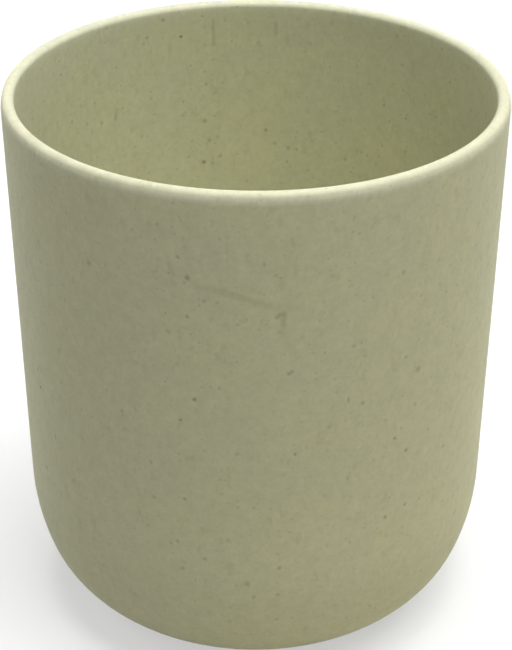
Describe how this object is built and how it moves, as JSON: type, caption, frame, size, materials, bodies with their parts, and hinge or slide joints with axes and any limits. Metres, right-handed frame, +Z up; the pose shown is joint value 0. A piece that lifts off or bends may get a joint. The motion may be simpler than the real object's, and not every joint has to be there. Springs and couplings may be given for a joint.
{
  "type": "plastic cup",
  "caption": "Plain drinking cup without a handle: slightly tapered wall, wide rounded shoulder, narrow foot ring and a fully rounded lip, in matt speckled plastic.",
  "frame": {"origin": "centre of the foot ring, on the surface that the cup stands on", "axes": "+Z up along the cup's axis, from the foot to the lip; the cup is the same all round, so +X and +Y are free"},
  "size_m": [0.083, 0.083, 0.0944],
  "materials": {
    "cup_plastic": "matt sage green plastic with plant fibre in it: sparse dark specks, faint fibre mottling and a very soft sheen"
  },
  "bodies": {
    "root": {"cup": "cup_plastic"}
  },
  "joints": []
}
